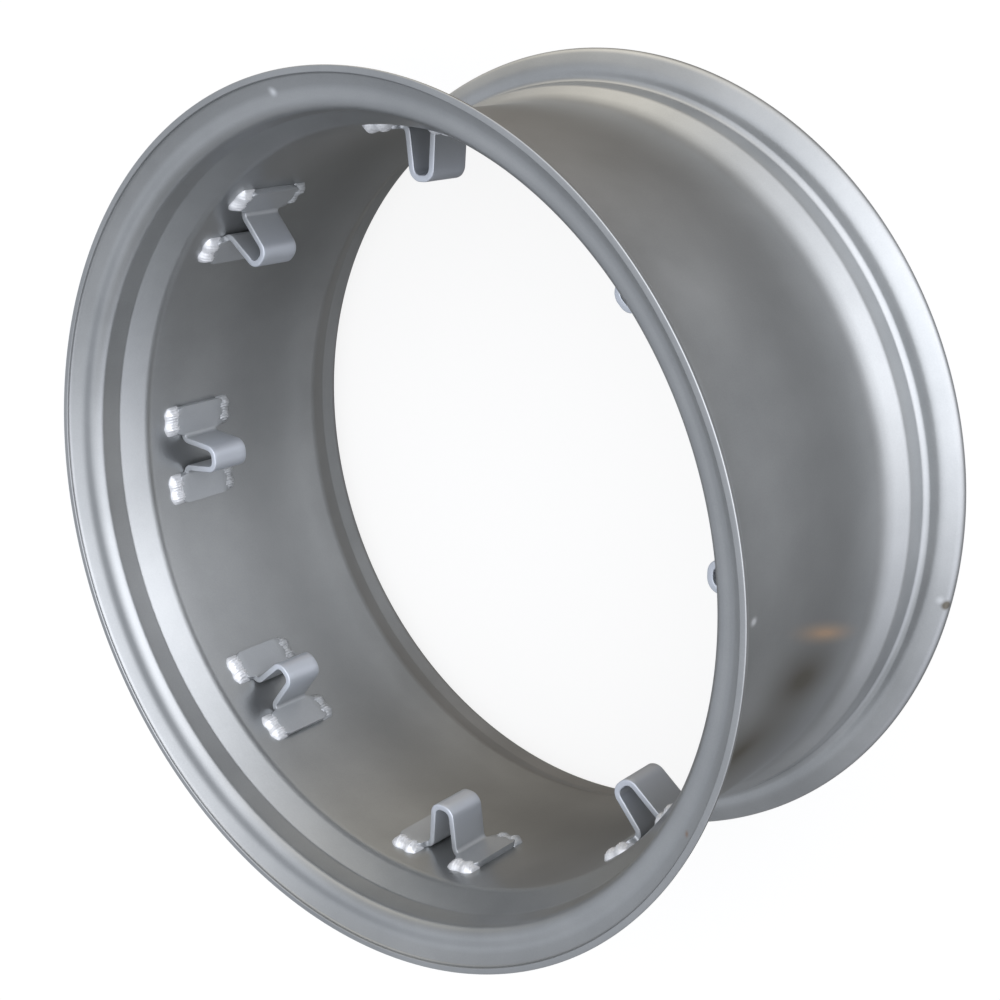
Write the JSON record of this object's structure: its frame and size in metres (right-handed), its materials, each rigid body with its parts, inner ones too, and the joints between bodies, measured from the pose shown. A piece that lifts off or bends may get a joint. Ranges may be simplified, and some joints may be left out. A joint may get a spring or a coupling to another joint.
{
  "type": "tractor wheel rim",
  "caption": "Drop-centre steel tractor wheel rim with flared lips, tapered bead seats and welded bolt loops on the inside of the well.",
  "frame": {"origin": "on the wheel's axis, in the plane of the rear lip that the rim lies on", "axes": "+Z along the wheel's axis, from the rear lip to the front lip, which is nearer the loops; +X through loop_1"},
  "size_m": [0.6603, 0.6604, 0.3005],
  "materials": {
    "silver_paint": "semi-gloss metallic silver-grey paint",
    "weld_paint": "the same silver paint over rippled weld beads"
  },
  "bodies": {
    "root": {"rim_hoop": "silver_paint", "loop_1": "silver_paint", "loop_2": "silver_paint", "loop_3": "silver_paint", "loop_4": "silver_paint", "loop_5": "silver_paint", "loop_6": "silver_paint", "loop_7": "silver_paint", "loop_8": "silver_paint", "loop_1_welds": "weld_paint", "loop_2_welds": "weld_paint", "loop_3_welds": "weld_paint", "loop_4_welds": "weld_paint", "loop_5_welds": "weld_paint", "loop_6_welds": "weld_paint", "loop_7_welds": "weld_paint", "loop_8_welds": "weld_paint"}
  },
  "joints": []
}
